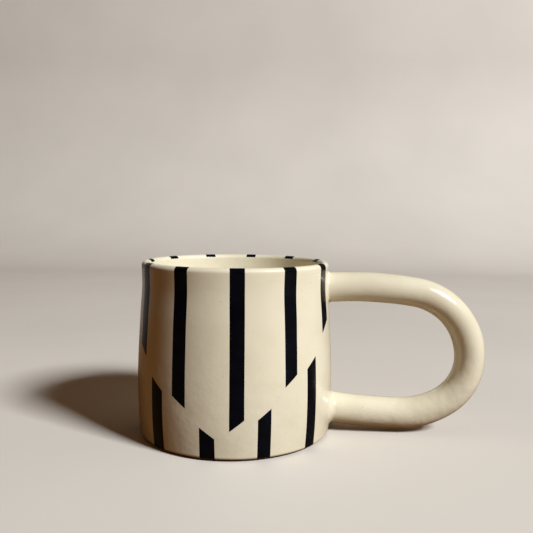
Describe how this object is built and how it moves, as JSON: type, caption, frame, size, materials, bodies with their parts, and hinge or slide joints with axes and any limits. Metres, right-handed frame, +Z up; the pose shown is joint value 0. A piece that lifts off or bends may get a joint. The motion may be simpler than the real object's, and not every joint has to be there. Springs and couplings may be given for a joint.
{
  "type": "mug",
  "caption": "Hand-built ceramic mug with a straight-sided cup, a thick looped coil handle and dark glaze stripes that meet at a zigzag line.",
  "frame": {"origin": "centre of the cup's foot, on the surface that the mug stands on", "axes": "+Z up along the cup's axis, +X along the handle"},
  "size_m": [0.1623, 0.0912, 0.08],
  "materials": {
    "cream_glaze": "satin gloss cream glaze",
    "black_glaze": "gloss blue-black glaze",
    "bare_clay": "unglazed red-brown clay of the foot"
  },
  "bodies": {
    "root": {"cup_wall": "cream_glaze", "base_slab": "cream_glaze", "handle_coil": "cream_glaze", "upper_handle_collar": "cream_glaze", "lower_handle_collar": "cream_glaze", "rim_stripe_01": "black_glaze", "rim_stripe_02": "black_glaze", "rim_stripe_03": "black_glaze", "rim_stripe_04": "black_glaze", "rim_stripe_05": "black_glaze", "rim_stripe_06": "black_glaze", "rim_stripe_07": "black_glaze", "rim_stripe_08": "black_glaze", "rim_stripe_09": "black_glaze", "rim_stripe_10": "black_glaze", "rim_stripe_11": "black_glaze", "foot_stripe_01": "black_glaze", "foot_stripe_02": "black_glaze", "foot_stripe_03": "black_glaze", "foot_stripe_04": "black_glaze", "foot_stripe_05": "black_glaze", "foot_stripe_06": "black_glaze", "foot_stripe_07": "black_glaze", "foot_stripe_08": "black_glaze", "foot_stripe_09": "black_glaze", "foot_stripe_10": "black_glaze"}
  },
  "joints": []
}
